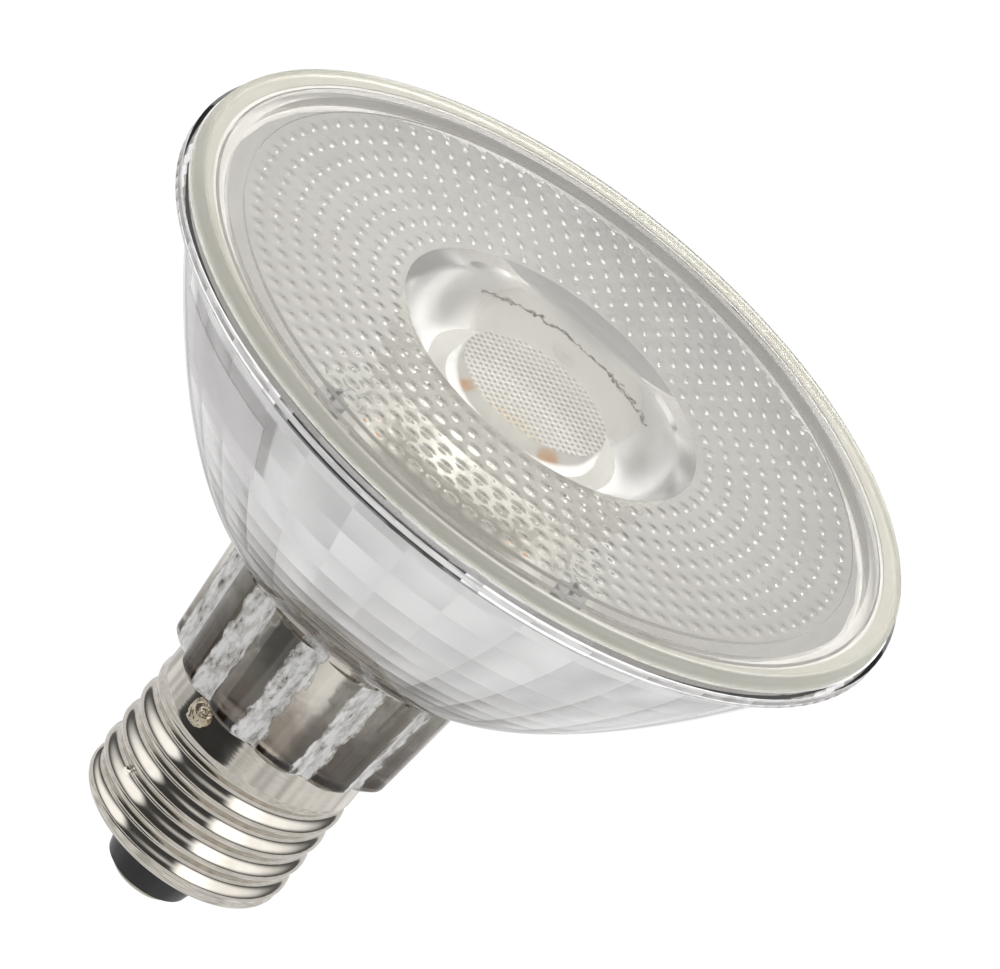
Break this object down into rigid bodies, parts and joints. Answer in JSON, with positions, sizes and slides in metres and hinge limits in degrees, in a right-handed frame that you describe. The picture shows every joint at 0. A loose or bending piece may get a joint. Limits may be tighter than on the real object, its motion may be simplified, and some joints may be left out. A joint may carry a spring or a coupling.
{
  "type": "led reflector bulb",
  "caption": "Reflector bulb with a screw cap: faceted pressed-glass bowl with a ribbed neck, clear dotted front lens with a collimator, and a light engine with its driver inside.",
  "frame": {"origin": "tip of the centre contact, on the lamp's axis", "axes": "+Z along the lamp's axis, from the contact to the front lens; the solder spot is at 240 degrees from +X towards +Y"},
  "size_m": [0.095, 0.095, 0.0815],
  "materials": {
    "clear_lens": "clear moulded plate with fine dots",
    "silvered_glass": "pressed glass, silvered inside",
    "clear_glue": "clear glue",
    "phosphor": "yellow resin",
    "white_silicone": "white resin",
    "white_board": "white coated aluminium board",
    "steel": "plated steel",
    "grey_pad": "soft grey pad",
    "aluminium": "plain aluminium",
    "white_plastic": "white moulded plastic",
    "green_board": "coated laminate",
    "black_epoxy": "moulded resin",
    "can_sleeve": "shrink sleeve on an aluminium can",
    "ferrite": "dark ferrite",
    "winding_tape": "yellow tape over wire",
    "resistor_coat": "blue-green coating",
    "red_wire": "insulated wire",
    "black_wire": "insulated wire",
    "white_wire": "insulated wire",
    "nickel_brass": "bright nickel on rolled brass",
    "cement": "basing cement",
    "solder": "dull solder with flux stain",
    "black_insulator": "black moulded plastic",
    "contact_metal": "plated brass"
  },
  "bodies": {
    "root": {"front_lens": "clear_lens", "glass_reflector": "silvered_glass", "lens_adhesive": "clear_glue", "cob_phosphor": "phosphor", "cob_dam": "white_silicone", "led_board": "white_board", "led_screws": "steel", "thermal_pad": "grey_pad", "heat_sink": "aluminium", "driver_sleeve": "white_plastic", "driver_board": "green_board", "bridge_rectifier": "black_epoxy", "driver_chip": "black_epoxy", "input_capacitor": "can_sleeve", "output_capacitor": "can_sleeve", "transformer_core": "ferrite", "transformer_winding": "winding_tape", "fuse_resistor": "resistor_coat", "filter_inductor": "ferrite", "output_lead_positive": "white_wire", "output_lead_negative": "white_wire", "live_lead": "red_wire", "neutral_lead": "black_wire", "screw_shell": "nickel_brass", "cap_cement": "cement", "shell_solder": "solder", "base_insulator": "black_insulator", "centre_contact": "contact_metal"}
  },
  "joints": []
}
